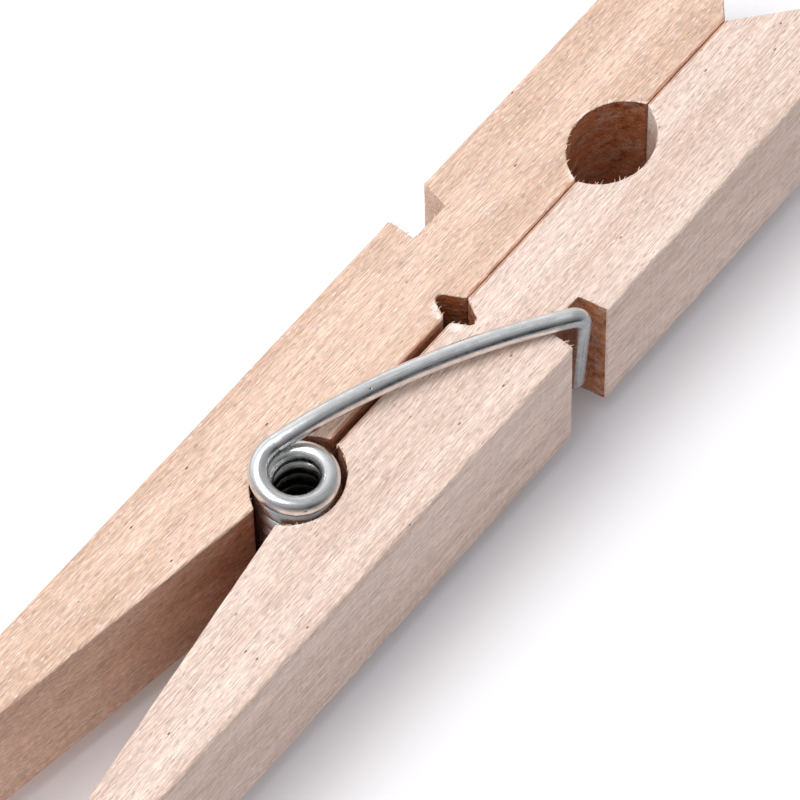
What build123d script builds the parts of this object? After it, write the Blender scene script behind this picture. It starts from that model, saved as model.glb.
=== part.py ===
from build123d import *
import math
import os

# Spring clothespin, lying on its side. Millimetres.
# +X runs along the pin towards the jaws, +Y towards the left leg, +Z across the pin's width.
# The origin is the middle of the pin: half its length, on the seam, half its width.

# Overall size
LENGTH = 72.0
WIDTH = 10.0
LEG_DEPTH = 6.6
HANDLE_LENGTH = 29.6
COIL_X = HANDLE_LENGTH - LENGTH / 2
SEAM_GAP = 0.04
EDGE_ROUND = 0.2
SHORTEST_ROUNDED_EDGE = 3.0

# Handle: its inner face leans away from the seam, so that the legs can be squeezed
HANDLE_LEAN = 8.3
HANDLE_START_Y = 0.35
HANDLE_END_ROUND = 0.6

# Neck: the stretch between the coil seat and the wire groove, set back from the seam
NECK_SETBACK = 0.22

# Coil seat: an arc whose centre lies past the seam, in the other leg
SEAT_X = COIL_X + 0.1
SEAT_RADIUS = 3.2
SEAT_OVER = 0.66

# Wire groove: a small V astride the seam, its apex rounded off
GROOVE_X = COIL_X + 13.95
GROOVE_HALF = 0.95
GROOVE_APEX = 1.725
GROOVE_ROUND = 0.35

# Line hole: two shallow arcs that hold a washing line
LINE_X = COIL_X + 27.95
LINE_RADIUS = 3.4
LINE_OVER = 1.05

# Outer notch that the spring's hook sits in; its far wall leans towards the jaws
NOTCH_X = COIL_X + 16.1
NOTCH_FLOOR = 4.75
NOTCH_LENGTH = 2.75
NOTCH_MOUTH = 3.1

# Jaw tip: the inner face flares open to guide the cloth in
FLARE_X = COIL_X + 38.45
FLARE_END_Y = 3.45
TIP_ROUND = 0.8

# Spring: one wire, wound into a coil with a hooked arm at each end
WIRE = 1.15
COIL_RADIUS = 1.9
COIL_HALF_HEIGHT = 6.2
WHOLE_TURNS = 9
ARM_ANGLE = 19.0
ARM_EASE = 3.0
ARM_EASE_RISE = 0.09
HOOK_X = COIL_X + 17.75
HOOK_Y = 5.8
HOOK_TOP_Z = WIDTH / 2 + WIRE / 2 + 0.08
HOOK_BEND = 0.68
HOOK_LENGTH = 6.5
HOOK_LEAN = Vector(-0.02, 0.045, -1)


def leg_outline():
    """The left leg's outline, before anything is cut out of it."""
    seam = SEAM_GAP / 2
    end_x = COIL_X - HANDLE_LENGTH
    tip_x = LENGTH / 2
    lean = math.tan(math.radians(HANDLE_LEAN))
    handle_end_y = HANDLE_START_Y + HANDLE_LENGTH * lean
    neck_x = COIL_X + (HANDLE_START_Y - NECK_SETBACK) / lean
    points = [
        (end_x, LEG_DEPTH),
        (end_x, handle_end_y),
        (neck_x, NECK_SETBACK),
        (GROOVE_X, NECK_SETBACK),
        (GROOVE_X, seam),
        (FLARE_X, seam),
        (tip_x, FLARE_END_Y),
        (tip_x, LEG_DEPTH),
    ]
    outline = make_face(Polyline(*points, close=True))
    handle_end = outline.vertices().group_by(Axis.X)[0]
    outline = fillet(handle_end, HANDLE_END_ROUND)
    jaw_end = outline.vertices().group_by(Axis.X)[-1]
    return fillet(jaw_end.sort_by(Axis.Y)[-1], TIP_ROUND)


def wire_groove():
    """A V across the seam with a round bottom."""
    past_seam = -1
    points = [
        (GROOVE_X - GROOVE_HALF, past_seam),
        (GROOVE_X - GROOVE_HALF, 0),
        (GROOVE_X, GROOVE_APEX),
        (GROOVE_X + GROOVE_HALF, 0),
        (GROOVE_X + GROOVE_HALF, past_seam),
    ]
    groove = make_face(Polyline(*points, close=True))
    return fillet(groove.vertices().sort_by(Axis.Y)[-1], GROOVE_ROUND)


def notch():
    """The hook's notch, open to the outside of the leg."""
    points = [
        (NOTCH_X, NOTCH_FLOOR),
        (NOTCH_X + NOTCH_LENGTH, NOTCH_FLOOR),
        (NOTCH_X + NOTCH_MOUTH, LEG_DEPTH),
        (NOTCH_X + NOTCH_MOUTH, LEG_DEPTH + 1),
        (NOTCH_X, LEG_DEPTH + 1),
    ]
    return make_face(Polyline(*points, close=True))


def left_leg():
    seat = Pos(SEAT_X, -SEAT_OVER) * Circle(SEAT_RADIUS)
    line_hole = Pos(LINE_X, -LINE_OVER) * Circle(LINE_RADIUS)
    profile = leg_outline() - seat - line_hole - wire_groove() - notch()
    leg = extrude(Pos(0, 0, -WIDTH / 2) * profile, WIDTH, dir=(0, 0, 1))
    sides = leg.faces().sort_by(Axis.Z)
    rims = (sides[0].edges() + sides[-1].edges()).filter_by(GeomType.LINE)
    return fillet(rims.filter_by(lambda rim: rim.length > SHORTEST_ROUNDED_EDGE), EDGE_ROUND)


def upper_arm(start, tangent):
    """The upper arm's centre line: a stretch that levels off, a long arc, the bend, the hook."""
    down = HOOK_LEAN.normalized()
    corner = Vector(HOOK_X, -HOOK_Y, HOOK_TOP_Z)
    level = Vector(corner.X - start.X, corner.Y - start.Y, 0).normalized()
    bend_start = corner - level * HOOK_BEND
    forward = Vector(tangent.X, tangent.Y, 0).normalized()
    level_point = start + forward * ARM_EASE + Vector(0, 0, ARM_EASE_RISE)
    ease = TangentArc(start, level_point, tangent=tangent)
    reach = TangentArc(level_point, bend_start, tangent=ease % 1)
    heading = reach % 1
    across = Axis((0, 0, 0), heading.cross(down))
    turn = heading.get_angle(down)
    spoke = across.direction.cross(heading) * -HOOK_BEND
    centre = bend_start - spoke
    middle = centre + spoke.rotate(across, turn / 2)
    foot = centre + spoke.rotate(across, turn)
    hook = Line(foot, foot + down * HOOK_LENGTH)
    return Wire([ease, reach, ThreePointArc(bend_start, middle, foot), hook])


def wire_along(path):
    return sweep(Plane(path @ 0, z_dir=path % 0) * Circle(WIRE / 2), path=path, is_frenet=True)


def torsion_spring():
    """A coil about Z and two arms, the lower one the upper one turned half round the seam."""
    wrap = WHOLE_TURNS * 360 + 180 + 2 * ARM_ANGLE
    height = 2 * COIL_HALF_HEIGHT
    winding = Helix(height * 360 / wrap, height, COIL_RADIUS, lefthand=True)
    coil_line = Pos(COIL_X, 0, -COIL_HALF_HEIGHT) * Rot(0, 0, ARM_ANGLE - 90) * winding
    upper = wire_along(upper_arm(coil_line @ 1, coil_line % 1))
    return wire_along(coil_line) + upper + upper.rotate(Axis.X, 180)


os.makedirs("parts", exist_ok=True)
leg = left_leg()
export_step(leg, "parts/left_leg.step")
export_step(mirror(leg, Plane.XZ), "parts/right_leg.step")
export_step(torsion_spring(), "parts/torsion_spring.step")
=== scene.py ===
# %% [markdown]
# # A spring clothespin, made to look like wood and wire
#
# The real thing is three pieces: two mirrored wooden legs and one steel wire, wound into a
# spring that holds the legs together. A CAD model of it already exists, in real sizes, with the
# joint that lets the legs pivot. It loads first and stays fixed. Everything made here sits
# round it, in the same place and in metres.

# %% Load the fixed frame
import math

import bmesh
import bpy
import numpy as np
from mathutils import Matrix, Quaternion, Vector, noise


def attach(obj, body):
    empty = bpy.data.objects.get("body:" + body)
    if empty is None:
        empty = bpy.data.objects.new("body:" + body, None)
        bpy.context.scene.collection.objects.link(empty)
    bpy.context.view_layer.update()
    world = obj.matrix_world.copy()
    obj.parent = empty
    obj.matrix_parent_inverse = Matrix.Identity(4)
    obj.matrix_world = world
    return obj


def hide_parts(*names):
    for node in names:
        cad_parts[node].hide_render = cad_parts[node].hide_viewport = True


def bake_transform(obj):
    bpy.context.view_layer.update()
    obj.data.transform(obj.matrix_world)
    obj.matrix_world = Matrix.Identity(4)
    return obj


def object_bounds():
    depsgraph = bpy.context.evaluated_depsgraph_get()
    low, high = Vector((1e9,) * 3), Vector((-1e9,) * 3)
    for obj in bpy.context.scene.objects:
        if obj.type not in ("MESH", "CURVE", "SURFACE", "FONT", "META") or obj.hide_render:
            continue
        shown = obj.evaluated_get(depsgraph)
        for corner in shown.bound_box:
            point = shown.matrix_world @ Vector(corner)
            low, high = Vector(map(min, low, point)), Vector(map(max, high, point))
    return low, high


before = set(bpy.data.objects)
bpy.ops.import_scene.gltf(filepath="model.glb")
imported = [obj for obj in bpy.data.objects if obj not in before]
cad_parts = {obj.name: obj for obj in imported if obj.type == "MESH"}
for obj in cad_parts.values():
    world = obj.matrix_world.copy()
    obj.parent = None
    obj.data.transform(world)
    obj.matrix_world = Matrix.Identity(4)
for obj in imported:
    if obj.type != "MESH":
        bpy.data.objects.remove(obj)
cad_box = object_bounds()
MM = 0.001
print("CAD box, mm", [round(1000 * v, 2) for corner in cad_box for v in corner])

# %% [markdown]
# ## The camera
#
# A small thing taken from close by with a wide lens looks bulging; this one is seen flat, from
# a third of a metre through a long lens. There are several ways to aim a camera: a Track To
# constraint, a rotation typed in, or a matrix built from simple turns. The turns are used here,
# because each number then means something: how far round, how far down, how much roll.

# %% Camera
LOOK_AT = Vector((1.8175, -0.5834, 3.3681)) * MM
LOOK_DISTANCE = 368.87 * MM
LOOK_ROUND = math.radians(49.7345)
LOOK_DOWN = math.radians(60.2518)
LOOK_ROLL = math.radians(-1.5)

turns = Matrix.Rotation(-LOOK_ROUND, 4, "Z")
turns = turns @ Matrix.Rotation(math.pi / 2 - LOOK_DOWN, 4, "X")
turns = turns @ Matrix.Rotation(LOOK_ROLL, 4, "Z")
camera = bpy.data.objects.new("camera", bpy.data.cameras.new("camera"))
camera.data.sensor_width = 36.0
camera.data.lens = 299.58
camera.data.clip_start = 0.01
camera.data.clip_end = 10.0
camera.matrix_world = Matrix.Translation(LOOK_AT) @ turns @ Matrix.Translation((0, 0, LOOK_DISTANCE))
bpy.context.collection.objects.link(camera)
bpy.context.scene.camera = camera
print("camera at, mm", [round(1000 * v, 1) for v in camera.matrix_world.translation])

# %% [markdown]
# ## Floor and light
#
# The pin lies on a white sweep under one softbox, high up on the far side and to the left, so the
# near sides of the legs fall into shade and every edge keeps its shape. A lamp this large and
# this close gives a soft shadow; a small one would cut it hard. A window on the same side fills
# the cuts that face it. Wood is happy with that, but bright wire needs dark and light to reflect,
# or it looks like plastic. So glossy rays see a room that is nearly black on the near side and
# runs up over grey to white behind the pin, and a sweep that is flagged down to grey.

# %% Node helpers
def node(tree, kind, **settings):
    """A new shader or geometry node; settings are its own properties."""
    made = tree.nodes.new(kind)
    for name, value in settings.items():
        setattr(made, name, value)
    return made


def wire_up(tree, source, target):
    tree.links.new(source, target)


def feed(tree, target, value):
    """Joins a socket to a socket, or sets it to a plain number or colour."""
    if isinstance(value, bpy.types.NodeSocket):
        tree.links.new(value, target)
    else:
        target.default_value = value


# %% White sweep
FLOOR_Z = cad_box[0].z
FLOOR_HALF = 0.6
PAPER = (0.885, 0.885, 0.90, 1)
FLAGGED_PAPER = (0.36, 0.36, 0.37, 1)

floor_mesh = bpy.data.meshes.new("floor")
corners = [(-1, -1), (1, -1), (1, 1), (-1, 1)]
floor_mesh.from_pydata([(x * FLOOR_HALF, y * FLOOR_HALF, FLOOR_Z) for x, y in corners], [], [(0, 1, 2, 3)])
floor = bpy.data.objects.new("floor", floor_mesh)
bpy.context.collection.objects.link(floor)

sweep_paper = bpy.data.materials.new("white sweep")
sweep_paper.use_nodes = True
paper_tree = sweep_paper.node_tree
paper = paper_tree.nodes["Principled BSDF"]
paper_ray = node(paper_tree, "ShaderNodeLightPath")
paper_tone = node(paper_tree, "ShaderNodeMix", data_type="RGBA")
wire_up(paper_tree, paper_ray.outputs["Is Glossy Ray"], paper_tone.inputs["Factor"])
paper_tone.inputs["A"].default_value = PAPER
paper_tone.inputs["B"].default_value = FLAGGED_PAPER
wire_up(paper_tree, paper_tone.outputs["Result"], paper.inputs["Base Color"])
paper.inputs["Roughness"].default_value = 0.75
floor_mesh.materials.append(sweep_paper)
print("floor at, mm", round(1000 * FLOOR_Z, 2))

# %% Softbox
KEY_FROM = Vector((-0.62, 0.70, 2.7)).normalized()
KEY_DISTANCE = 0.5
KEY_SIZE = 0.31
KEY_POWER = 1.75

softbox = bpy.data.lights.new("softbox", "AREA")
softbox.shape = "SQUARE"
softbox.size = KEY_SIZE
softbox.energy = KEY_POWER
softbox.color = (1.0, 0.985, 0.965)
key = bpy.data.objects.new("softbox", softbox)
facing = KEY_FROM.to_track_quat("Z", "Y").to_matrix().to_4x4()
key.matrix_world = Matrix.Translation(KEY_FROM * KEY_DISTANCE) @ facing
bpy.context.collection.objects.link(key)
print("softbox, degrees above the floor", round(math.degrees(math.asin(KEY_FROM.z))))

# %% Room
ZENITH = (0.97, 0.985, 1.04, 1)
HORIZON = (0.07, 0.07, 0.08, 1)
WINDOW_SIDE = (-0.66, 0.75, 0.0)
FAR_SIDE = (0.31, 0.95, 0.0)
NEAR_GLOSS = (0.02, 0.02, 0.024, 1)
FAR_GLOSS = (1.15, 1.17, 1.2, 1)
GREYS_BETWEEN = ((0.06, 0.05), (0.2, 0.3), (0.42, 0.36), (0.62, 0.44), (0.82, 0.7))

room = bpy.data.worlds.new("pale room")
room.use_nodes = True
bpy.context.scene.world = room
sky = room.node_tree
direction = node(sky, "ShaderNodeTexCoord").outputs["Generated"]


def towards(side):
    """How far a ray of the world points to one side: 1 straight at it, -1 straight away."""
    made = node(sky, "ShaderNodeVectorMath", operation="DOT_PRODUCT")
    wire_up(sky, direction, made.inputs[0])
    made.inputs[1].default_value = side
    return made.outputs["Value"]


brightest = node(sky, "ShaderNodeMath", operation="MAXIMUM")
wire_up(sky, towards((0, 0, 1)), brightest.inputs[0])
wire_up(sky, towards(WINDOW_SIDE), brightest.inputs[1])
seen_by_wood = node(sky, "ShaderNodeValToRGB")
wire_up(sky, brightest.outputs[0], seen_by_wood.inputs[0])
seen_by_wood.color_ramp.elements[0].color = HORIZON
seen_by_wood.color_ramp.elements[1].color = ZENITH

near_to_far = node(sky, "ShaderNodeMapRange")
wire_up(sky, towards(FAR_SIDE), near_to_far.inputs["Value"])
near_to_far.inputs["From Min"].default_value = -1.0
seen_in_gloss = node(sky, "ShaderNodeValToRGB")
wire_up(sky, near_to_far.outputs["Result"], seen_in_gloss.inputs[0])
gloss = seen_in_gloss.color_ramp
for position, grey in GREYS_BETWEEN:
    gloss.elements.new(position).color = (grey, grey * 1.02, grey * 1.05, 1)
gloss.elements[0].color = NEAR_GLOSS
gloss.elements[-1].color = FAR_GLOSS

ray = node(sky, "ShaderNodeLightPath")
choice = node(sky, "ShaderNodeMix", data_type="RGBA")
wire_up(sky, ray.outputs["Is Glossy Ray"], choice.inputs["Factor"])
wire_up(sky, seen_by_wood.outputs["Color"], choice.inputs["A"])
wire_up(sky, seen_in_gloss.outputs["Color"], choice.inputs["B"])
wire_up(sky, choice.outputs["Result"], sky.nodes["Background"].inputs["Color"])
bpy.context.scene.view_settings.view_transform = "Standard"
print("room nodes", len(sky.nodes))

# %% [markdown]
# ## The outline of a leg
#
# A leg is sawn from a strip, so one outline drawn on its face and pushed through its width makes
# nearly all of it: the coil seat, the small wire groove, the round line hole and the outer notch
# are bites out of that outline. A boolean would cut them as well, but leaves ragged faces that
# can't take fine wear. Here the outline is walked point by point, in even steps, and each step
# remembers which surface it belongs to, so that later each wall gets its own roughness.

# %% Sizes, in millimetres
LENGTH = 72.0
WIDTH = 10.0
LEG_DEPTH = 6.6
HANDLE_LENGTH = 29.6
COIL_X = HANDLE_LENGTH - LENGTH / 2
SEAM = 0.02
HANDLE_LEAN = math.tan(math.radians(8.3))
HANDLE_START_Y = 0.35
NECK_SETBACK = 0.22
SEAT = (COIL_X + 0.1, -0.66, 3.2)
LINE_HOLE = (COIL_X + 27.95, -1.05, 3.4)
GROOVE_X = COIL_X + 13.95
GROOVE_HALF = 0.95
GROOVE_APEX = 1.725
GROOVE_ROUND = 0.35
NOTCH_X = COIL_X + 16.1
NOTCH_FLOOR = 4.75
NOTCH_LENGTH = 2.75
NOTCH_MOUTH = 3.1
FLARE_X = COIL_X + 38.45
FLARE_END_Y = 3.45
TIP_ROUND = 0.8
HANDLE_END_ROUND = 0.6


# %% Walk round the outline
def turn_of_arc(centre, radius, first, last):
    """Points along an arc, close enough together to count as a curve."""
    count = max(3, math.ceil(abs(last - first) * radius / 0.05))
    angles = np.linspace(first, last, count)
    return [(centre[0] + radius * math.cos(a), centre[1] + radius * math.sin(a)) for a in angles]


def bite(circle, left_y, right_y):
    """The part of a round cut above the seam, walked from its handle side to its jaw side."""
    x, y, radius = circle
    first = math.pi - math.asin((left_y - y) / radius)
    last = math.asin((right_y - y) / radius)
    return turn_of_arc((x, y), radius, first, last)


def seat_start_y():
    """Height at which the leaning handle face meets the coil seat."""
    y = SEAM
    for _ in range(40):
        x = SEAT[0] - math.sqrt(SEAT[2] ** 2 - (y - SEAT[1]) ** 2)
        y = HANDLE_START_Y + (COIL_X - x) * HANDLE_LEAN
    return y


def groove_points():
    half_angle = math.atan(GROOVE_HALF / GROOVE_APEX)
    centre_y = GROOVE_APEX - GROOVE_ROUND / math.sin(half_angle)
    start = NECK_SETBACK / GROOVE_APEX
    points = [(GROOVE_X - GROOVE_HALF * (1 - start), NECK_SETBACK)]
    points += turn_of_arc((GROOVE_X, centre_y), GROOVE_ROUND, math.pi - half_angle, half_angle)
    end = SEAM / GROOVE_APEX
    return points + [(GROOVE_X + GROOVE_HALF * (1 - end), SEAM)]


def leg_outline():
    """The left leg's outline, wood on the left hand: (surface name, its points)."""
    end_x = -LENGTH / 2
    tip_x = LENGTH / 2
    inner_end_y = HANDLE_START_Y + HANDLE_LENGTH * HANDLE_LEAN
    tip = turn_of_arc((tip_x - TIP_ROUND, LEG_DEPTH - TIP_ROUND), TIP_ROUND, 0, math.pi / 2)
    outer_round = (end_x + HANDLE_END_ROUND, LEG_DEPTH - HANDLE_END_ROUND)
    inner_round = (end_x + HANDLE_END_ROUND, inner_end_y + HANDLE_END_ROUND * 0.86)
    end = turn_of_arc(outer_round, HANDLE_END_ROUND, math.pi / 2, math.pi)
    end += turn_of_arc(inner_round, HANDLE_END_ROUND, math.pi, math.radians(261.7))
    return [
        ("handle", end[-1:]),
        ("seat", bite(SEAT, seat_start_y(), NECK_SETBACK)),
        ("neck", []),
        ("groove", groove_points()),
        ("seam", []),
        ("line hole", bite(LINE_HOLE, SEAM, SEAM)),
        ("seam", []),
        ("flare", [(FLARE_X, SEAM)]),
        ("tip", [(tip_x, FLARE_END_Y)] + tip),
        ("outer", []),
        ("notch", [(NOTCH_X + NOTCH_MOUTH, LEG_DEPTH), (NOTCH_X + NOTCH_LENGTH, NOTCH_FLOOR),
                   (NOTCH_X, NOTCH_FLOOR), (NOTCH_X, LEG_DEPTH)]),
        ("outer", []),
        ("end", end),
    ]


STEP = 0.04
KEEP = 4


def even_steps(outline):
    """The outline in equal short steps, and the surface that each step lies on."""
    corners, kinds = [], []
    for kind, points in outline:
        if not points:
            kinds[-1] = kind
            continue
        corners += points
        kinds += [kind] * len(points)
    corners = np.array(corners)
    lengths = np.linalg.norm(np.roll(corners, -1, axis=0) - corners, axis=1)
    reach = np.concatenate([[0], np.cumsum(lengths)])
    count = int(reach[-1] / STEP / KEEP) * KEEP
    at = np.linspace(0, reach[-1], count, endpoint=False)
    loop = np.vstack([corners, corners[:1]])
    points = np.stack([np.interp(at, reach, loop[:, 0]), np.interp(at, reach, loop[:, 1])], axis=1)
    where = np.searchsorted(reach, at, side="right") - 1
    return points, [kinds[i] for i in where]


def eased(values, reach):
    """Values run round a loop, each blended with its neighbours."""
    span = int(4 * reach)
    weights = np.exp(-0.5 * (np.arange(-span, span + 1) / reach) ** 2)
    weights /= weights.sum()
    total = sum(w * np.roll(values, s, axis=0) for w, s in zip(weights, range(-span, span + 1)))
    return total


fine, fine_kinds = even_steps(leg_outline())
fine = eased(fine, 2.2)
ahead = np.roll(fine, -1, axis=0) - np.roll(fine, 1, axis=0)
ahead /= np.linalg.norm(ahead, axis=1)[:, None]
heading = np.unwrap(np.arctan2(ahead[:, 1], ahead[:, 0]))
turned = (np.roll(heading, -2) - np.roll(heading, 2) + math.pi) % (2 * math.pi) - math.pi
bend = eased(turned, 2.0) / (4 * STEP)
bend = np.max([np.roll(bend, shift) for shift in range(-KEEP, KEEP + 1)], axis=0)
outline = fine[::KEEP]
outward = np.stack([ahead[:, 1], -ahead[:, 0]], axis=1)[::KEEP]
kinds = fine_kinds[::KEEP]
bend = bend[::KEEP]
print("outline points", len(outline), "length, mm", round(len(fine) * STEP, 1))

# %% [markdown]
# ## From outline to leg
#
# Sawn and tumbled wood has no sharp edges. Its rims are worn to a fifth of a millimetre along
# the outside and stay nearly sharp where a cutter bit in. A Bevel modifier gives every edge one
# width; here the rim is made of rings whose width changes from surface to surface and wanders
# a little, as sanding does. The walls are divided too, so that real bumps can be pushed into
# them: fine along the grain, coarse where the cutter crossed it.

# %% Wood wall sizes
RIM = {"outer": 0.2, "handle": 0.16, "end": 0.2, "tip": 0.2, "flare": 0.12, "neck": 0.1,
       "seam": 0.1, "seat": 0.06, "groove": 0.06, "line hole": 0.07, "notch": 0.06}
ROUGH = {"seat": 0.045, "groove": 0.05, "line hole": 0.04, "notch": 0.07, "handle": 0.015}
# Cut walls: their real scorch, and painted shade darkening the deep cuts.
CUT_BROWN_AND_SHADE = {"seat": 1.0, "groove": 1.0, "line hole": 1.0, "notch": 1.0, "neck": 0.8, "seam": 0.8}
SMOOTH_ROUGH = 0.012
RIM_STEPS = 4
WALL_STEPS = 24


def wander(point, along, across, seed):
    """Soft noise drawn out along the grain, between about -1 and 1."""
    spot = Vector((point[0] * along, point[1] * across, point[2] * across))
    return noise.noise(spot + Vector((seed, 0, 0)))


def rim_widths(seed):
    """How round the rim is at each point, and the most that a tight corner allows."""
    widths = np.array([RIM[kind] for kind in kinds])
    tightest = 0.6 / np.maximum(bend, 0.5)
    widths = np.minimum(widths, tightest)
    for shift in (-2, -1, 1, 2):
        widths = np.minimum(widths, np.roll(widths, shift) + 0.04)
    drift = [1 + 0.35 * wander((p[0], p[1], 0), 0.5, 0.5, seed) for p in outline]
    return np.minimum(eased(widths * np.array(drift), 1.2), tightest), tightest


def browning_and_shade(kind, x, side):
    """How brown a wall is painted: 0 for a planed face, 1 for a deep cut, with painted shade and painted
    light mixed in.
    """
    # Painted shade: the inner handle faces get darker towards the coil, deeper into the crease between the
    # legs.
    if kind == "handle":
        return float(np.interp(x, (COIL_X - 15.0, COIL_X - 1.5), (0.0, 1.0)))
    # Painted light: the right leg's line hole wall and the left leg's notch wall face the light, so they
    # are left pale.
    if (kind, side) in (("line hole", -1), ("notch", 1)):
        return 0.0
    return CUT_BROWN_AND_SHADE.get(kind, 0.0)


def leg_rings(seed):
    """Rings of (offset, height) from the bottom face, up the wall, to the top face."""
    rim, tightest = rim_widths(seed)
    half = WIDTH / 2
    inner = np.minimum(rim + 0.06, tightest * 1.15)
    rings = [(inner, np.full(len(rim), -half))]
    for k in range(RIM_STEPS + 1):
        angle = math.pi / 2 * (1 - k / RIM_STEPS)
        rings.append((rim * (1 - math.cos(angle)), -half + rim * (1 - math.sin(angle))))
    for k in range(1, WALL_STEPS):
        rings.append((np.zeros(len(rim)), (half - rim) * (2 * k / WALL_STEPS - 1)))
    for k in range(RIM_STEPS + 1):
        angle = math.pi / 2 * k / RIM_STEPS
        rings.append((rim * (1 - math.cos(angle)), half - rim * (1 - math.sin(angle))))
    rings.append((inner, np.full(len(rim), half)))
    return rings


def leg_mesh(name, side, seed):
    """A closed leg. side is 1 for the left leg and -1 for the right, its mirror image."""
    rings = leg_rings(seed)
    count = len(outline)
    rough = eased(np.array([ROUGH.get(kind, SMOOTH_ROUGH) for kind in kinds]), 1.0)
    places = []
    for number, (offset, height) in enumerate(rings):
        flat = number in (0, 1, len(rings) - 2, len(rings) - 1)
        base = outline - outward * offset[:, None]
        for i in range(count):
            point = Vector((base[i, 0], base[i, 1], height[i]))
            if not flat:
                bump = wander(point, 0.6, 3.0, seed) + 0.5 * wander(point, 2.2, 7.0, seed + 9)
                push = -abs(bump) * rough[i]
                point.x += outward[i, 0] * push
                point.y += outward[i, 1] * push
            places.append((point.x * MM, point.y * side * MM, point.z * MM))
    faces = []
    for ring in range(len(rings) - 1):
        low, high = ring * count, (ring + 1) * count
        for i in range(count):
            j = (i + 1) % count
            faces.append((low + i, low + j, high + j, high + i))
    last = (len(rings) - 1) * count
    faces.append(tuple(range(count - 1, -1, -1)))
    faces.append(tuple(range(last, last + count)))
    if side < 0:
        faces = [tuple(reversed(face)) for face in faces]
    mesh = bpy.data.meshes.new(name)
    mesh.from_pydata(places, [], faces)
    # This per-face number carries the walls' scorch together with painted shade and painted light.
    cut = mesh.attributes.new("cut", "FLOAT", "FACE")
    strength = [browning_and_shade(kinds[i], outline[i, 0], side) for i in range(count)]
    rim_strip = [0.6 if kind in ("seam", "neck") else 0.0 for kind in kinds] * (RIM_STEPS + 1)
    wall_strips = strength * (len(rings) - 1 - 2 * (RIM_STEPS + 1))
    cut.data.foreach_set("value", rim_strip + wall_strips + rim_strip + [0.0, 0.0])
    mesh.shade_smooth()
    leg = bpy.data.objects.new(name, mesh)
    bpy.context.collection.objects.link(leg)
    return leg


left_leg = leg_mesh("leg_left", 1, 3.0)
right_leg = leg_mesh("leg_right", -1, 57.0)
print("leg faces", len(left_leg.data.polygons))

# %% [markdown]
# ## Pale hardwood
#
# Beech and birch have a close, even grain: faint long streaks, thousands of short darker pores
# and pale torn fibres lying along them, and here and there a small dark pit. An image of wood
# wraps badly round a notch, so the pattern is worked out in space instead: noise squeezed across
# the grain and drawn out along X. Where a wall crosses the grain, the same pattern shows its ends
# as dots, as in a real board. Both legs need it, with their own streaks, so it is one node group.

# %% Wood grain group
def maths(tree, operation, first, second=0.0):
    """A Math node's result; each value is a number or a socket."""
    made = node(tree, "ShaderNodeMath", operation=operation)
    feed(tree, made.inputs[0], first)
    feed(tree, made.inputs[1], second)
    return made.outputs[0]


def times(tree, first, second):
    return maths(tree, "MULTIPLY", first, second)


def spread(tree, value, low, high, out_low=0.0, out_high=1.0):
    """Maps low..high to out_low..out_high, smoothly, and clamps."""
    made = node(tree, "ShaderNodeMapRange", interpolation_type="SMOOTHSTEP")
    feed(tree, made.inputs["Value"], value)
    for name, number in (("From Min", low), ("From Max", high), ("To Min", out_low), ("To Max", out_high)):
        feed(tree, made.inputs[name], number)
    return made.outputs["Result"]


def blend_colour(tree, factor, first, second, mode="MIX"):
    made = node(tree, "ShaderNodeMix", data_type="RGBA", blend_type=mode)
    feed(tree, made.inputs["Factor"], factor)
    feed(tree, made.inputs["A"], first)
    feed(tree, made.inputs["B"], second)
    return made.outputs["Result"]


def stretched(tree, place, scale):
    made = node(tree, "ShaderNodeVectorMath", operation="MULTIPLY")
    feed(tree, made.inputs[0], place)
    made.inputs[1].default_value = scale
    return made.outputs[0]


def cloud(tree, place, scale, detail=2.0):
    """Noise of about 0 to 1, with its own number of repeats per millimetre along each axis."""
    made = node(tree, "ShaderNodeTexNoise")
    wire_up(tree, stretched(tree, place, scale), made.inputs["Vector"])
    made.inputs["Scale"].default_value = 1.0
    made.inputs["Detail"].default_value = detail
    return made.outputs["Fac"]


def specks(tree, place, scale):
    """Cells: how far each point is from its cell's middle, and a random number per cell."""
    made = node(tree, "ShaderNodeTexVoronoi")
    wire_up(tree, stretched(tree, place, scale), made.inputs["Vector"])
    made.inputs["Scale"].default_value = 1.0
    pick = node(tree, "ShaderNodeSeparateColor")
    wire_up(tree, made.outputs["Color"], pick.inputs[0])
    return made.outputs["Distance"], pick.outputs[0]


def new_group(name, inputs, outputs):
    """An empty shader group with named sockets: (name, socket type, default)."""
    tree = bpy.data.node_groups.new(name, "ShaderNodeTree")
    for label, kind, default in inputs:
        socket = tree.interface.new_socket(label, in_out="INPUT", socket_type=kind)
        if default is not None:
            socket.default_value = default
    for label, kind in outputs:
        tree.interface.new_socket(label, in_out="OUTPUT", socket_type=kind)
    return tree, node(tree, "NodeGroupInput").outputs, node(tree, "NodeGroupOutput").inputs


PORE_BROWN = (0.40, 0.22, 0.14, 1)
PIT_BROWN = (0.1, 0.045, 0.025, 1)
FUZZ_CREAM = (0.93, 0.81, 0.72, 1)


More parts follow.
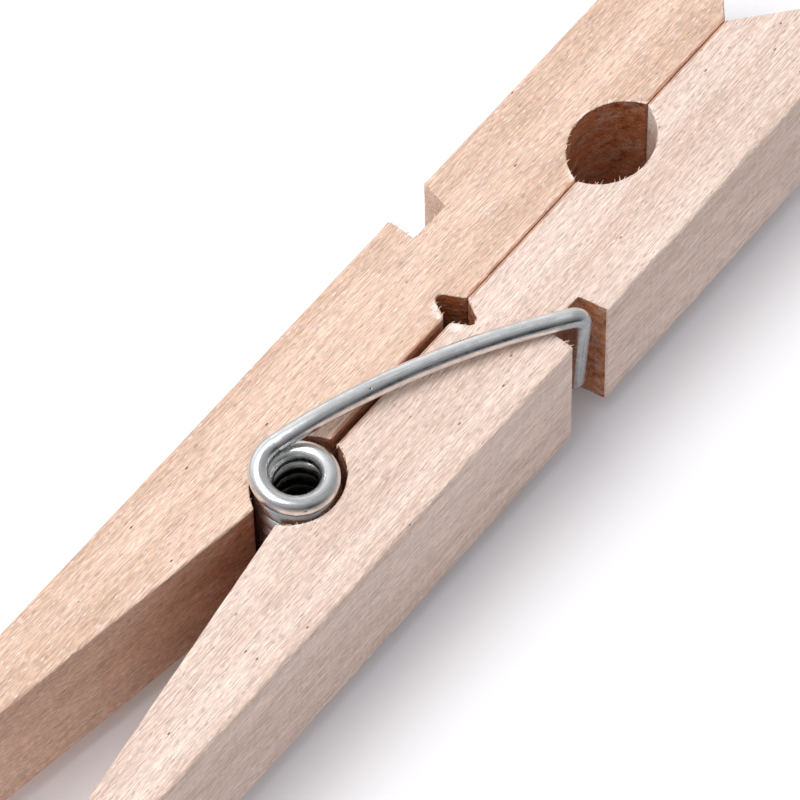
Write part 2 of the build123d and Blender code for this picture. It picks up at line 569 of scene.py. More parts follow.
def build_grain():
    """Streaks, pores, pale fibres and pits, in millimetres, drawn out along X."""
    tree, given, result = new_group(
        "close wood grain",
        [("Place", "NodeSocketVector", None), ("Pale", "NodeSocketColor", (0.7, 0.5, 0.4, 1)),
         ("Streak", "NodeSocketColor", (0.6, 0.4, 0.3, 1)), ("Pores", "NodeSocketFloat", 0.5),
         ("Pits", "NodeSocketFloat", 0.8), ("Fuzz", "NodeSocketColor", FUZZ_CREAM)],
        [("Color", "NodeSocketColor"), ("Height", "NodeSocketFloat"), ("Roughness", "NodeSocketFloat")],
    )
    place = given["Place"]
    broad = cloud(tree, place, (0.035, 0.45, 0.45), 2.0)
    streak = cloud(tree, place, (0.12, 2.6, 2.6), 3.0)
    nap = cloud(tree, place, (0.3, 5.0, 5.0), 3.0)
    hair = cloud(tree, place, (1.3, 13.0, 13.0), 2.0)
    strand = cloud(tree, place, (0.35, 11.0, 11.0), 2.0)
    tone = maths(tree, "ADD", times(tree, broad, 0.7), times(tree, streak, 0.3))
    tone = spread(tree, tone, 0.36, 0.64)
    colour = blend_colour(tree, tone, given["Pale"], given["Streak"])
    shade = spread(tree, nap, 0.36, 0.64, 1.06, 0.93)
    shade = times(tree, shade, spread(tree, hair, 0.4, 0.6, 1.12, 0.85))
    shade = times(tree, shade, spread(tree, strand, 0.4, 0.6, 1.07, 0.91))
    lit = node(tree, "ShaderNodeVectorMath", operation="SCALE")
    wire_up(tree, colour, lit.inputs[0])
    wire_up(tree, shade, lit.inputs["Scale"])

    distance, chance = specks(tree, place, (1.8, 9.0, 9.0))
    ragged = maths(tree, "ADD", distance, times(tree, hair, 0.3))
    pore = spread(tree, ragged, 0.3, 0.55, 1.0, 0.0)
    pore = times(tree, pore, spread(tree, chance, 0.5, 0.95, 0.0, 1.0))
    pore = times(tree, pore, given["Pores"])
    colour = blend_colour(tree, pore, lit.outputs[0], PORE_BROWN)

    fuzz_distance, fuzz_chance = specks(tree, place, (2.0, 8.0, 8.0))
    fuzz = spread(tree, fuzz_distance, 0.1, 0.5, 1.0, 0.0)
    fuzz = times(tree, fuzz, spread(tree, fuzz_chance, 0.5, 0.9, 0.0, 0.85))
    colour = blend_colour(tree, fuzz, colour, given["Fuzz"])

    pit_distance, pit_chance = specks(tree, place, (0.6, 1.5, 1.5))
    pit = spread(tree, pit_distance, 0.04, 0.08, 1.0, 0.0)
    pit = times(tree, pit, spread(tree, pit_chance, 0.66, 0.74, 0.0, 1.0))
    pit = times(tree, pit, given["Pits"])
    colour = blend_colour(tree, pit, colour, PIT_BROWN)

    high = maths(tree, "ADD", times(tree, nap, 1.3), times(tree, hair, 1.1))
    high = maths(tree, "ADD", high, times(tree, fuzz, 0.5))
    high = maths(tree, "SUBTRACT", high, times(tree, pore, 0.6))
    high = maths(tree, "SUBTRACT", high, times(tree, pit, 1.5))
    wire_up(tree, colour, result["Color"])
    wire_up(tree, high, result["Height"])
    wire_up(tree, spread(tree, hair, 0.3, 0.7, 0.5, 0.68), result["Roughness"])
    return tree


def off_axis(tree, place, middle):
    """How far a place is from an upright line through a middle."""
    away = node(tree, "ShaderNodeVectorMath", operation="DISTANCE")
    wire_up(tree, stretched(tree, place, (1.0, 1.0, 0.0)), away.inputs[0])
    feed(tree, away.inputs[1], middle)
    return away.outputs["Value"]


def build_burr_and_highlight():
    """A pale, ragged halo round the rim of a round cut: fibres standing up, and a painted highlight where
    it lies on a lit wall.
    """
    tree, given, result = new_group(
        "pale burr and painted highlight round a cut",
        [("Place", "NodeSocketVector", None), ("Middle", "NodeSocketVector", None),
         ("Radius", "NodeSocketFloat", 1.0), ("Reach", "NodeSocketFloat", 0.6)],
        [("Mask", "NodeSocketFloat")],
    )
    away = off_axis(tree, given["Place"], given["Middle"])
    past = maths(tree, "SUBTRACT", away, given["Radius"])
    past = maths(tree, "DIVIDE", past, given["Reach"])
    ragged = cloud(tree, given["Place"], (2.2, 4.5, 4.5), 4.0)
    patchy = spread(tree, cloud(tree, given["Place"], (0.5, 0.5, 0.1), 1.0), 0.42, 0.6)
    fade = times(tree, maths(tree, "SUBTRACT", 1.0, past), patchy)
    mask = spread(tree, times(tree, fade, ragged), 0.28, 0.55)
    outside = spread(tree, past, -0.25, -0.05)
    wire_up(tree, times(tree, mask, outside), result["Mask"])
    return tree


grain_group = build_grain()
burr_and_highlight_group = build_burr_and_highlight()
print("nodes in the grain and burr groups", len(grain_group.nodes), len(burr_and_highlight_group.nodes))

# %% [markdown]
# ## Sawn faces, burnt cuts and painted shade
#
# The planed faces are pale. Where a cutter bit in, its heat turned the wall brown and tore the
# fibres, so most walls of seat, groove, hole and notch are darker, rougher and redder; the darker
# colour is partly that scorch and partly painted shade for the deep cuts. The mesh carries a number
# per face, 0 for planed and 1 for cut; the material only mixes towards brown by it. The same number
# paints shade on the inner handle faces, darker towards the coil, and stays 0 on the right leg's
# line hole wall and the left leg's notch wall, which face the light and so stay pale: painted
# light. That keeps one finish for the whole leg instead of two materials that never quite meet.
# Round some cuts the fibres stand up in pale patches. A second small group makes those from the
# distance to the middle of the cut, broken up by noise. Round the line hole the patches also
# brighten the right leg's lit hole wall: a painted highlight.

# %% Wood material
PER_MM = (1 / MM, 1 / MM, 1 / MM)
# Brown and near black for the cut walls: partly real scorch, partly painted shade in the deep cuts.
BURNT_AND_SHADED = (0.60, 0.265, 0.105, 1)
CHARRED_AND_SHADED = (0.09, 0.03, 0.015, 1)
BURR_AND_HIGHLIGHT_CREAM = (0.97, 0.89, 0.82, 1)
GROOVE_RIM = (GROOVE_X, 0.2, 1.0)
# Round the line hole the pale patches also paint a highlight on the right leg's lit hole wall.
BURR_AND_HIGHLIGHT_REACH = ((SEAT, 0.75), (GROOVE_RIM, 0.9), (LINE_HOLE, 0.6))


def wood(name, side, shift, tilt, pale, streak):
    """One leg's finish: side is the leg's, shift and tilt place its board in the grain."""
    material = bpy.data.materials.new(name)
    material.use_nodes = True
    tree = material.node_tree
    surface = tree.nodes["Principled BSDF"]
    where = node(tree, "ShaderNodeTexCoord")
    mapping = node(tree, "ShaderNodeMapping")
    mapping.inputs["Scale"].default_value = PER_MM
    mapping.inputs["Rotation"].default_value = (0, 0, math.radians(tilt))
    mapping.inputs["Location"].default_value = shift
    wire_up(tree, where.outputs["Object"], mapping.inputs["Vector"])
    place = mapping.outputs["Vector"]
    grain = node(tree, "ShaderNodeGroup", node_tree=grain_group)
    wire_up(tree, place, grain.inputs["Place"])
    grain.inputs["Pale"].default_value = pale
    grain.inputs["Streak"].default_value = streak

    cut = node(tree, "ShaderNodeAttribute", attribute_name="cut")
    # The cut walls mix towards brown and near black: real scorch, and painted shade in the deep cuts.
    scorch = cloud(tree, place, (0.5, 1.3, 1.3), 4.0)
    amount = times(tree, cut.outputs["Fac"], spread(tree, scorch, 0.25, 0.65, 0.62, 1.0))
    browned_and_shaded = blend_colour(tree, 1.0, grain.outputs["Color"], BURNT_AND_SHADED, "MULTIPLY")
    char_and_shade = cloud(tree, place, (2.4, 2.4, 2.4), 4.0)
    browned_and_shaded = blend_colour(tree, spread(tree, char_and_shade, 0.5, 0.68, 0.0, 0.6), browned_and_shaded, CHARRED_AND_SHADED)
    colour = blend_colour(tree, amount, grain.outputs["Color"], browned_and_shaded)

    in_mm = stretched(tree, where.outputs["Object"], PER_MM)
    halo = 0.0
    for (x, y, radius), reach in BURR_AND_HIGHLIGHT_REACH:
        burr = node(tree, "ShaderNodeGroup", node_tree=burr_and_highlight_group)
        wire_up(tree, in_mm, burr.inputs["Place"])
        burr.inputs["Middle"].default_value = (x, y * side, 0)
        burr.inputs["Radius"].default_value = radius
        burr.inputs["Reach"].default_value = reach
        halo = maths(tree, "MAXIMUM", burr.outputs["Mask"], halo)
    # On the right leg's line hole wall the patches fall on a lit wall: a painted highlight there.
    planed = maths(tree, "SUBTRACT", 1.0, cut.outputs["Fac"])
    halo = times(tree, times(tree, halo, planed), 0.75)
    colour = blend_colour(tree, halo, colour, BURR_AND_HIGHLIGHT_CREAM)
    wire_up(tree, colour, surface.inputs["Base Color"])
    rough = maths(tree, "ADD", grain.outputs["Roughness"], times(tree, cut.outputs["Fac"], 0.2))
    wire_up(tree, rough, surface.inputs["Roughness"])
    surface.inputs["Specular IOR Level"].default_value = 0.35

    torn = cloud(tree, place, (2.6, 3.5, 3.5), 4.0)
    torn = times(tree, torn, times(tree, cut.outputs["Fac"], 2.5))
    height = maths(tree, "ADD", grain.outputs["Height"], torn)
    bump = node(tree, "ShaderNodeBump")
    bump.inputs["Distance"].default_value = 0.06 * MM
    bump.inputs["Strength"].default_value = 1.0
    wire_up(tree, height, bump.inputs["Height"])
    wire_up(tree, bump.outputs["Normal"], surface.inputs["Normal"])
    return material


left_wood = wood("pale hardwood, warm board", 1, (11, 4, 2), 1.2,
                 pale=(0.80, 0.575, 0.45, 1), streak=(0.67, 0.455, 0.34, 1))
right_wood = wood("pale hardwood, pink board", -1, (71, 33, 9), -0.8,
                  pale=(0.81, 0.635, 0.54, 1), streak=(0.70, 0.52, 0.425, 1))
left_leg.data.materials.append(left_wood)
right_leg.data.materials.append(right_wood)
print("wood nodes, left and right", len(left_wood.node_tree.nodes), len(right_wood.node_tree.nodes))

# %% [markdown]
# ## The coil
#
# The spring's coil follows one rule: every step along the wire turns the same angle and climbs
# the same height. Geometry Nodes suit that: a line is cut into steps, each point is moved to its
# place on the rule, and a round section is swept along it. The Screw modifier could do it too,
# but can't lean the top turn over to where its arm leaves, as a bent wire does. The wire is left
# handed: seen from above it climbs clockwise.

# %% Wire sizes, in millimetres
WIRE = 1.15
COIL_RADIUS = 1.9
COIL_HALF_HEIGHT = 6.2
ARM_ANGLE = 19.0
ARM_EASE = 3.0
ARM_EASE_RISE = 0.09
TURNS = (9 * 360 + 180 + 2 * ARM_ANGLE) / 360
COIL_LEAN = Vector((-0.13, 0.19, 0.0))
WIRE_SIDES = 28


# %% Wound wire tree
def set_inputs(modifier, tree, values):
    """Sets a Geometry Nodes modifier's inputs, found by name, by their identifiers."""
    for item in tree.interface.items_tree:
        if item.item_type == "SOCKET" and item.in_out == "INPUT" and item.name in values:
            modifier[item.identifier] = values[item.name]


def baked(name, tree, values, mesh=None):
    """Runs a tree once and keeps the result as a plain mesh with no modifier."""
    holder = bpy.data.objects.new(name + "_made", mesh or bpy.data.meshes.new(name + "_made"))
    bpy.context.collection.objects.link(holder)
    modifier = holder.modifiers.new("rule", "NODES")
    modifier.node_group = tree
    set_inputs(modifier, tree, values)
    bpy.context.view_layer.update()
    graph = bpy.context.evaluated_depsgraph_get()
    made = bpy.data.meshes.new_from_object(holder.evaluated_get(graph), depsgraph=graph)
    bpy.data.objects.remove(holder)
    made.name = name
    result = bpy.data.objects.new(name, made)
    bpy.context.collection.objects.link(result)
    return result


def new_geometry_tree(name, inputs):
    tree = bpy.data.node_groups.new(name, "GeometryNodeTree")
    tree.is_modifier = True
    tree.interface.new_socket("Geometry", in_out="INPUT", socket_type="NodeSocketGeometry")
    for label, kind, default in inputs:
        socket = tree.interface.new_socket(label, in_out="INPUT", socket_type=kind)
        if default is not None:
            socket.default_value = default
    tree.interface.new_socket("Geometry", in_out="OUTPUT", socket_type="NodeSocketGeometry")
    return tree, node(tree, "NodeGroupInput").outputs, node(tree, "NodeGroupOutput").inputs


def stored(tree, geometry, name, kind, value):
    """Writes a value on every point, under a name that a material can read."""
    made = node(tree, "GeometryNodeStoreNamedAttribute", data_type=kind, domain="POINT")
    wire_up(tree, geometry, made.inputs["Geometry"])
    made.inputs["Name"].default_value = name
    wire_up(tree, value, made.inputs["Value"])
    return made.outputs["Geometry"]


def build_winding():
    """A wire wound evenly about Z, whose first and last turns lean out of line."""
    tree, given, result = new_geometry_tree("wound wire", [
        ("Wire Diameter", "NodeSocketFloat", 0.001), ("Coil Radius", "NodeSocketFloat", 0.002),
        ("Half Height", "NodeSocketFloat", 0.006), ("Turns", "NodeSocketFloat", 9.0),
        ("First Angle", "NodeSocketFloat", 0.0), ("Middle X", "NodeSocketFloat", 0.0),
        ("Lean", "NodeSocketVector", None), ("Lean Starts", "NodeSocketFloat", 0.005),
        ("Steps", "NodeSocketInt", 600), ("Sides", "NodeSocketInt", 24),
        ("Material", "NodeSocketMaterial", None),
    ])
    line = node(tree, "GeometryNodeCurvePrimitiveLine")
    steps = node(tree, "GeometryNodeResampleCurve")
    wire_up(tree, line.outputs["Curve"], steps.inputs["Curve"])
    wire_up(tree, given["Steps"], steps.inputs["Count"])
    along = node(tree, "GeometryNodeSplineParameter").outputs["Factor"]

    turned_so_far = times(tree, along, given["Turns"])
    sweep_angle = times(tree, turned_so_far, 2 * math.pi)
    angle = maths(tree, "SUBTRACT", given["First Angle"], sweep_angle)
    x = times(tree, maths(tree, "COSINE", angle), given["Coil Radius"])
    y = times(tree, maths(tree, "SINE", angle), given["Coil Radius"])
    rise = maths(tree, "SUBTRACT", times(tree, along, 2.0), 1.0)
    z = times(tree, rise, given["Half Height"])
    spot = node(tree, "ShaderNodeCombineXYZ")
    wire_up(tree, maths(tree, "ADD", x, given["Middle X"]), spot.inputs[0])
    wire_up(tree, y, spot.inputs[1])
    wire_up(tree, z, spot.inputs[2])

    top = node(tree, "ShaderNodeMapRange", interpolation_type="SMOOTHSTEP")
    wire_up(tree, maths(tree, "ABSOLUTE", z), top.inputs["Value"])
    wire_up(tree, given["Lean Starts"], top.inputs["From Min"])
    wire_up(tree, given["Half Height"], top.inputs["From Max"])
    lean = node(tree, "ShaderNodeSeparateXYZ")
    wire_up(tree, given["Lean"], lean.inputs[0])
    drift = node(tree, "ShaderNodeCombineXYZ")
    wire_up(tree, times(tree, lean.outputs[0], top.outputs[0]), drift.inputs[0])
    sideways = times(tree, lean.outputs[1], maths(tree, "SIGN", z))
    wire_up(tree, times(tree, sideways, top.outputs[0]), drift.inputs[1])
    total = node(tree, "ShaderNodeVectorMath", operation="ADD")
    wire_up(tree, spot.outputs[0], total.inputs[0])
    wire_up(tree, drift.outputs[0], total.inputs[1])
    placed = node(tree, "GeometryNodeSetPosition")
    wire_up(tree, steps.outputs["Curve"], placed.inputs["Geometry"])
    wire_up(tree, total.outputs[0], placed.inputs["Position"])
    length = node(tree, "GeometryNodeSplineParameter").outputs["Length"]
    path = stored(tree, placed.outputs["Geometry"], "along", "FLOAT", length)

    section = node(tree, "GeometryNodeCurvePrimitiveCircle", mode="RADIUS")
    wire_up(tree, given["Sides"], section.inputs["Resolution"])
    wire_up(tree, times(tree, given["Wire Diameter"], 0.5), section.inputs["Radius"])
    here = node(tree, "GeometryNodeInputPosition").outputs[0]
    ring = stored(tree, section.outputs["Curve"], "ring", "FLOAT_VECTOR", here)
    swept = node(tree, "GeometryNodeCurveToMesh")
    wire_up(tree, path, swept.inputs["Curve"])
    wire_up(tree, ring, swept.inputs["Profile Curve"])
    swept.inputs["Fill Caps"].default_value = True
    real = node(tree, "GeometryNodeRealizeInstances")
    painted = node(tree, "GeometryNodeSetMaterial")
    wire_up(tree, swept.outputs["Mesh"], real.inputs[0])
    wire_up(tree, real.outputs[0], painted.inputs["Geometry"])
    wire_up(tree, given["Material"], painted.inputs["Material"])
    wire_up(tree, painted.outputs[0], result[0])
    return tree


# %% [markdown]
# ## Bright drawn wire
#
# Spring wire is pulled through a die and galvanised, which leaves fine lines along it and a
# slightly clouded zinc skin. A plain metal shader would look like chrome. The mesh carries how
# far along the wire each point is and where it lies round it, so streaks can follow the wire
# round every bend; noise in plain space would cut across them. The inner side of the wire is
# painted nearly black below the first turns, in from either end: painted shade for the dark
# inside of the coil.

# %% Wire material
ZINC = (0.90, 0.905, 0.90, 1)
CLOUDED_ZINC = (0.74, 0.745, 0.75, 1)
DIE_LINE = (0.42, 0.425, 0.43, 1)
NICK = (0.2, 0.2, 0.21, 1)
# Painted shade: the near-black colour of the shaded inside of the coil.
COIL_PAINTED_SHADE = (0.03, 0.028, 0.02, 1)


def painted_coil_shade(tree):
    """How much painted shade each point gets: 1 on the inner side of the coil, away from its ends."""
    where = node(tree, "ShaderNodeTexCoord")
    spot = stretched(tree, where.outputs["Object"], PER_MM)
    away = off_axis(tree, spot, (COIL_X, 0, 0))
    level = node(tree, "ShaderNodeSeparateXYZ")
    wire_up(tree, spot, level.inputs[0])
    inside = spread(tree, away, COIL_RADIUS - 0.05, COIL_RADIUS + 0.2, 1.0, 0.0)
    deep = spread(tree, maths(tree, "ABSOLUTE", level.outputs[2]), 3.7, 4.5, 1.0, 0.0)
    return times(tree, times(tree, inside, deep), 0.96)


def drawn_wire():
    """Zinc with clouds, die lines and nicks that follow the wire, and painted shade inside the coil."""
    material = bpy.data.materials.new("galvanised spring wire")
    material.use_nodes = True
    tree = material.node_tree
    surface = tree.nodes["Principled BSDF"]
    along = node(tree, "ShaderNodeAttribute", attribute_name="along")
    ring = node(tree, "ShaderNodeAttribute", attribute_name="ring")
    parts = node(tree, "ShaderNodeSeparateXYZ")
    wire_up(tree, ring.outputs["Vector"], parts.inputs[0])
    place = node(tree, "ShaderNodeCombineXYZ")
    wire_up(tree, times(tree, along.outputs["Fac"], 1 / MM), place.inputs[0])
    wire_up(tree, times(tree, parts.outputs[0], 1 / MM), place.inputs[1])
    wire_up(tree, times(tree, parts.outputs[1], 1 / MM), place.inputs[2])
    lines = cloud(tree, place.outputs[0], (0.22, 9.0, 9.0), 3.0)
    skin = cloud(tree, place.outputs[0], (1.6, 2.2, 2.2), 4.0)
    distance, chance = specks(tree, place.outputs[0], (1.1, 2.6, 2.6))
    nick = spread(tree, distance, 0.07, 0.14, 1.0, 0.0)
    nick = times(tree, nick, spread(tree, chance, 0.72, 0.8))
    bright = blend_colour(tree, spread(tree, skin, 0.3, 0.7), ZINC, CLOUDED_ZINC)
    bright = blend_colour(tree, spread(tree, lines, 0.52, 0.68, 0.0, 0.45), bright, DIE_LINE)
    bright = blend_colour(tree, nick, bright, NICK)
    # Painted shade: the inner side of the coil, below its first turns, is blended almost to black.
    bright = blend_colour(tree, painted_coil_shade(tree), bright, COIL_PAINTED_SHADE)
    wire_up(tree, bright, surface.inputs["Base Color"])
    rough = spread(tree, skin, 0.35, 0.65, 0.19, 0.3)
    rough = maths(tree, "ADD", rough, spread(tree, lines, 0.35, 0.65, 0.0, 0.1))
    wire_up(tree, rough, surface.inputs["Roughness"])
    surface.inputs["Metallic"].default_value = 1.0
    bump = node(tree, "ShaderNodeBump")
    bump.inputs["Distance"].default_value = 0.01 * MM
    high = maths(tree, "SUBTRACT", maths(tree, "ADD", lines, skin), times(tree, nick, 2.0))
    wire_up(tree, high, bump.inputs["Height"])
    wire_up(tree, bump.outputs["Normal"], surface.inputs["Normal"])
    return material


spring_steel = drawn_wire()
winding = build_winding()
coil = baked("spring_coil", winding, {
    "Wire Diameter": WIRE * MM, "Coil Radius": COIL_RADIUS * MM, "Half Height": COIL_HALF_HEIGHT * MM,
    "Turns": TURNS, "First Angle": math.radians(ARM_ANGLE - 90), "Middle X": COIL_X * MM,
    "Lean": COIL_LEAN * MM, "Lean Starts": 5.0 * MM, "Steps": int(TURNS * 72), "Sides": WIRE_SIDES,
    "Material": spring_steel,
})
print("coil faces", len(coil.data.polygons), "materials", len(coil.data.materials))

# %% [markdown]
# ## The two arms
#
# Each end of the coil runs out into an arm that crosses the pin, bends down and hooks into a
# notch. The arms turn with the legs while the coil twists between them, so they are pieces of
# their own. Each starts from the coil's very last ring of points, so no joint shows, and that
# ring is carried along the arm, turned as little as possible at each step. A Bezier curve with a
# bevel would look alike, but its ring wouldn't meet the coil's.

# %% Arm path
HOOK_X = COIL_X + 17.75
HOOK_Y = 5.8
HOOK_TOP_Z = WIDTH / 2 + WIRE / 2 + 0.08
HOOK_BEND = 0.68
HOOK_LENGTH = 6.5
HOOK_LEAN = Vector((-0.02, 0.045, -1.0)).normalized()


def arc_between(start, tangent, end, count):
    """Points of the one arc that leaves start along tangent and reaches end, and its last heading."""
    chord = end - start
    normal = tangent.cross(chord)
    if normal.length < 1e-9:
        return [start + chord * k / count for k in range(1, count + 1)], tangent
    normal.normalize()
    half = tangent.angle(chord)
    radius = chord.length / (2 * math.sin(half))
    centre = start + normal.cross(tangent) * radius
    spoke = start - centre
    points = [centre + Quaternion(normal, 2 * half * k / count) @ spoke for k in range(1, count + 1)]
    return points, Quaternion(normal, 2 * half) @ tangent


def arm_path(start, tangent):
    """The upper arm's centre line after its first point: the long arc, the bend and the hook."""
    corner = Vector((HOOK_X, -HOOK_Y, HOOK_TOP_Z))
    level = (corner - start)
    level.z = 0
    bend_start = corner - level.normalized() * HOOK_BEND
    forward = Vector((tangent.x, tangent.y, 0)).normalized()
    level_point = start + forward * ARM_EASE + Vector((0, 0, ARM_EASE_RISE))
    points, heading = arc_between(start, tangent, level_point, 12)
    reach, heading = arc_between(level_point, heading, bend_start, 50)
    points += reach
    across = heading.cross(HOOK_LEAN).normalized()
    turn = heading.angle(HOOK_LEAN)
    inward = across.cross(heading)
    centre = bend_start + inward * HOOK_BEND
    spoke = bend_start - centre
    points += [centre + Quaternion(across, turn * k / 16) @ spoke for k in range(1, 17)]
    foot = points[-1]
    points += [foot + HOOK_LEAN * HOOK_LENGTH * k / 14 for k in range(1, 15)]
    return points


# %% Carry the ring along the arm
def carried(name, ring, path, rings_kept):
    """A closed tube: ring is its first ring of points, path the centre line from its middle on."""
    count = len(ring)
    middle = sum(ring, Vector()) / count
    line = [middle] + path
    spokes = [point - middle for point in ring]
    heading = (line[1] - line[0]).normalized()
    places, along = list(ring), [0.0] * count
    reach = 0.0
    for k in range(1, len(line)):
        after = line[min(k + 1, len(line) - 1)] - line[k - 1]
        after.normalize()
        turn = heading.rotation_difference(after)
        spokes = [turn @ spoke for spoke in spokes]
        heading = after
        reach += (line[k] - line[k - 1]).length
        places += [line[k] + spoke for spoke in spokes]
        along += [reach * MM] * count
    for inset, drop in ((0.9, 0.06), (0.72, 0.09)):
        places += [line[-1] + spoke * inset + heading * drop for spoke in spokes]
        along += [reach * MM] * count
    rows = len(places) // count
    faces = []
    for row in range(rows - 1):
        for i in range(count):
            j = (i + 1) % count
            faces.append((row * count + i, row * count + j, (row + 1) * count + j, (row + 1) * count + i))
    faces.append(tuple(range(count - 1, -1, -1)))
    faces.append(tuple(range((rows - 1) * count, rows * count)))
    mesh = bpy.data.meshes.new(name)
    mesh.from_pydata([point * MM for point in places], [], faces)
    shape = bmesh.new()
    shape.from_mesh(mesh)
    bmesh.ops.recalc_face_normals(shape, faces=shape.faces)
    shape.to_mesh(mesh)
    shape.free()
    mesh.attributes.new("along", "FLOAT", "POINT").data.foreach_set("value", along)
    kept = np.tile(np.array(rings_kept).reshape(-1), rows)
    mesh.attributes.new("ring", "FLOAT_VECTOR", "POINT").data.foreach_set("vector", kept)
    mesh.materials.append(spring_steel)
    arm = bpy.data.objects.new(name, mesh)
    bpy.context.collection.objects.link(arm)
    return arm


def finish_wire(piece):
    """Smooth round the wire, sharp at its flat ends."""
    piece.data.shade_smooth()
    piece.data.set_sharp_from_angle(angle=math.radians(40))


coil_points = [v.co / MM for v in coil.data.vertices]
ring_values = [tuple(item.vector) for item in coil.data.attributes["ring"].data[:WIRE_SIDES]]
last_ring = coil_points[-WIRE_SIDES:]
first_ring = coil_points[:WIRE_SIDES]
next_ring = coil_points[-2 * WIRE_SIDES:-WIRE_SIDES]
top_end = sum(last_ring, Vector()) / WIRE_SIDES
top_heading = (top_end - sum(next_ring, Vector()) / WIRE_SIDES).normalized()
print("coil end, mm", top_end, "ring radius", (last_ring[0] - top_end).length)

upper_path = arm_path(top_end, top_heading)
half_turn = Matrix.Rotation(math.pi, 3, "X")
lower_path = [half_turn @ point for point in upper_path]
upper_arm = carried("spring_upper_arm", last_ring, upper_path, ring_values)
lower_arm = carried("spring_lower_arm", first_ring, lower_path, ring_values)
for piece in (coil, upper_arm, lower_arm):
    finish_wire(piece)
print("arm length, mm", round(sum((b - a).length for a, b in zip(upper_path, upper_path[1:])), 1))

# %% [markdown]
# ## Torn fibres
#
# A cutter leaves little splinters standing along the rims of seat, groove, hole and notch. Hair
# particles or a handful of hand-placed slivers would do; Geometry Nodes scatter them along the
# rim lines with one seed, so they come out the same each time. Each fibre is a thin five-sided
# cone, mostly lying along the grain and lifted a little, with its root inside the wood. The same
# rule, with wider cones turned the other way, leaves chips that hang into the right leg's seat.

# %% Fibre tree
def build_fibres():
    """Small cones scattered along loose edges, leaning roughly along X."""
    tree, given, result = new_geometry_tree("torn fibres", [
        ("Spacing", "NodeSocketFloat", 0.0002), ("Fibre Length", "NodeSocketFloat", 0.0005),
        ("Fibre Width", "NodeSocketFloat", 0.00006), ("Turn", "NodeSocketFloat", 0.0),
        ("Seed", "NodeSocketInt", 1),
        ("Material", "NodeSocketMaterial", None),
    ])
    rims = node(tree, "GeometryNodeMeshToCurve")
    wire_up(tree, given["Geometry"], rims.inputs["Mesh"])
    spots = node(tree, "GeometryNodeResampleCurve", mode="LENGTH")
    wire_up(tree, rims.outputs["Curve"], spots.inputs["Curve"])
    wire_up(tree, given["Spacing"], spots.inputs["Length"])

    fibre = node(tree, "GeometryNodeMeshCone")
    fibre.inputs["Vertices"].default_value = 5
    fibre.inputs["Side Segments"].default_value = 1
    wire_up(tree, times(tree, given["Fibre Width"], 0.15), fibre.inputs["Radius Top"])
    wire_up(tree, times(tree, given["Fibre Width"], 0.5), fibre.inputs["Radius Bottom"])
    wire_up(tree, given["Fibre Length"], fibre.inputs["Depth"])

    def chance(low, high, number):
        made = node(tree, "FunctionNodeRandomValue", data_type="FLOAT_VECTOR")
        made.inputs["Min"].default_value = low
        made.inputs["Max"].default_value = high
        wire_up(tree, maths(tree, "ADD", given["Seed"], number), made.inputs["Seed"])
        return made.outputs["Value"]

    keep = node(tree, "FunctionNodeRandomValue", data_type="BOOLEAN")
    keep.inputs["Probability"].default_value = 0.28
    wire_up(tree, given["Seed"], keep.inputs["Seed"])
    scattered = node(tree, "GeometryNodeInstanceOnPoints")
    wire_up(tree, spots.outputs["Curve"], scattered.inputs["Points"])
    wire_up(tree, keep.outputs[3], scattered.inputs["Selection"])
    wire_up(tree, fibre.outputs["Mesh"], scattered.inputs["Instance"])
    turn = node(tree, "ShaderNodeCombineXYZ")
    wire_up(tree, given["Turn"], turn.inputs[2])
    rotation = node(tree, "ShaderNodeVectorMath", operation="ADD")
    wire_up(tree, chance((0, 0.9, -0.9), (0, 1.65, 0.9), 11), rotation.inputs[0])
    wire_up(tree, turn.outputs[0], rotation.inputs[1])
    wire_up(tree, rotation.outputs[0], scattered.inputs["Rotation"])
    wire_up(tree, chance((0.4, 0.4, 0.25), (2.2, 1.4, 1.3), 23), scattered.inputs["Scale"])
    real = node(tree, "GeometryNodeRealizeInstances")
    wire_up(tree, scattered.outputs[0], real.inputs[0])
    painted = node(tree, "GeometryNodeSetMaterial")
    wire_up(tree, real.outputs[0], painted.inputs["Geometry"])
    wire_up(tree, given["Material"], painted.inputs["Material"])
    wire_up(tree, painted.outputs[0], result[0])
    return tree


FRAYED = ("seat", "groove", "line hole", "notch")
RIM_INSET = 0.03


def rim_lines(side, frayed=FRAYED, after_x=-LENGTH):
    """The rims of the cuts on both faces of a leg, from after_x on, as loose edges."""
    mesh = bpy.data.meshes.new("rim_lines")
    places, edges = [], []
    for z in (WIDTH / 2 - RIM_INSET, RIM_INSET - WIDTH / 2):
        for i, kind in enumerate(kinds):
            j = (i + 1) % len(kinds)
            if kind in frayed and kinds[j] == kind and outline[i][0] > after_x:
                start = len(places)
                for k in (i, j):
                    x, y = outline[k] - outward[k] * RIM_INSET
                    places.append((x * MM, y * side * MM, z * MM))
                edges.append((start, start + 1))
    mesh.from_pydata(places, edges, [])
    shape = bmesh.new()
    shape.from_mesh(mesh)
    bmesh.ops.remove_doubles(shape, verts=shape.verts, dist=0.001 * MM)
    shape.to_mesh(mesh)
    shape.free()
    return mesh


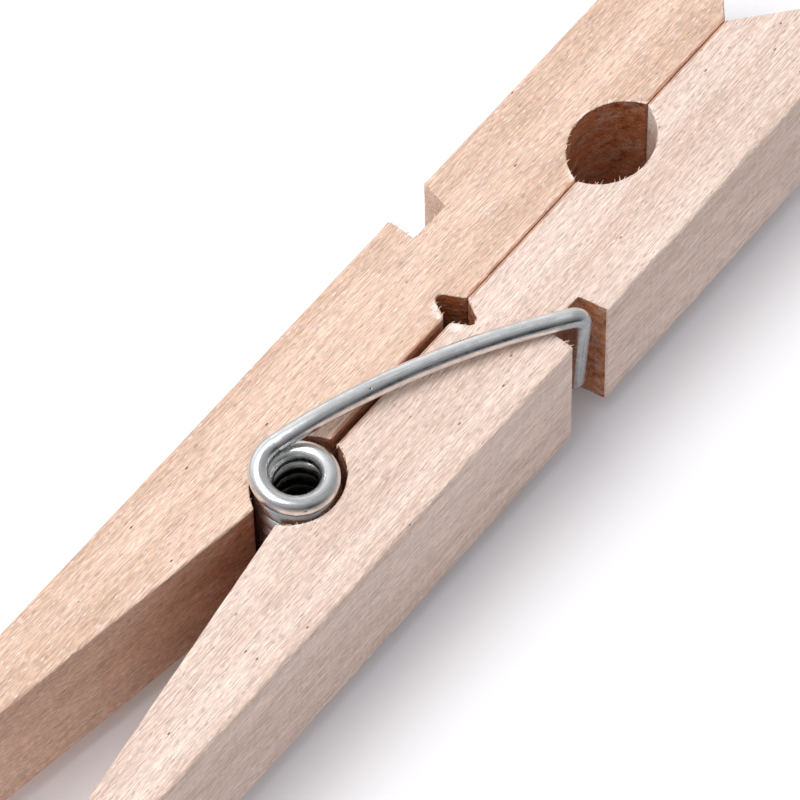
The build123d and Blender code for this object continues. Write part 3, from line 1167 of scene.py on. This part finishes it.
# %% Scatter the fibres
FIBRE_CREAM = (0.84, 0.70, 0.60, 1)
FIBRE_BROWN = (0.5, 0.3, 0.2, 1)

fibre_wood = bpy.data.materials.new("torn wood fibre")
fibre_wood.use_nodes = True
fibre_tree = fibre_wood.node_tree
fibre_surface = fibre_tree.nodes["Principled BSDF"]
fibre_place = node(fibre_tree, "ShaderNodeTexCoord")
fibre_tone = cloud(fibre_tree, fibre_place.outputs["Object"], (2500, 2500, 2500), 1.0)
fibre_tone = spread(fibre_tree, fibre_tone, 0.35, 0.65)
fibre_colour = blend_colour(fibre_tree, fibre_tone, FIBRE_CREAM, FIBRE_BROWN)
wire_up(fibre_tree, fibre_colour, fibre_surface.inputs["Base Color"])
fibre_surface.inputs["Roughness"].default_value = 0.7

fibre_rule = build_fibres()
fibres = []
for name, side, seed in (("fibres_left", 1, 4), ("fibres_right", -1, 19)):
    made = baked(name, fibre_rule, {
        "Spacing": 0.08 * MM, "Fibre Length": 0.24 * MM, "Fibre Width": 0.055 * MM, "Seed": seed,
        "Material": fibre_wood,
    }, rim_lines(side))
    fibres.append(made)
    print(name, "faces", len(made.data.polygons))
chips = baked("chips_right", fibre_rule, {
    "Spacing": 0.13 * MM, "Fibre Length": 0.36 * MM, "Fibre Width": 0.17 * MM, "Seed": 8,
    "Turn": math.radians(200), "Material": fibre_wood,
}, rim_lines(-1, ("seat",), SEAT[0] + 1.4))
fibres.append(chips)
print("chips faces", len(chips.data.polygons))

# %% [markdown]
# ## Riding on the joint
#
# The frame has one joint: the right leg swings about the coil. Each piece is told what it moves
# with. The legs and their fibres are stiff. The lower arm stays with the left leg and the upper
# arm with the right one. The coil is attached to neither and stays where it is.

# %% Say what moves with what
for piece, body, stands_for in (
    (left_leg, "left_leg", "left_leg"),
    (right_leg, "right_leg", "right_leg"),
    (lower_arm, "left_leg", "torsion_spring"),
    (upper_arm, "right_leg", "torsion_spring"),
):
    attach(piece, body)
    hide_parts(stands_for)
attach(fibres[0], "left_leg")
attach(fibres[1], "right_leg")
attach(chips, "right_leg")
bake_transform(coil)
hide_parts("torsion_spring")
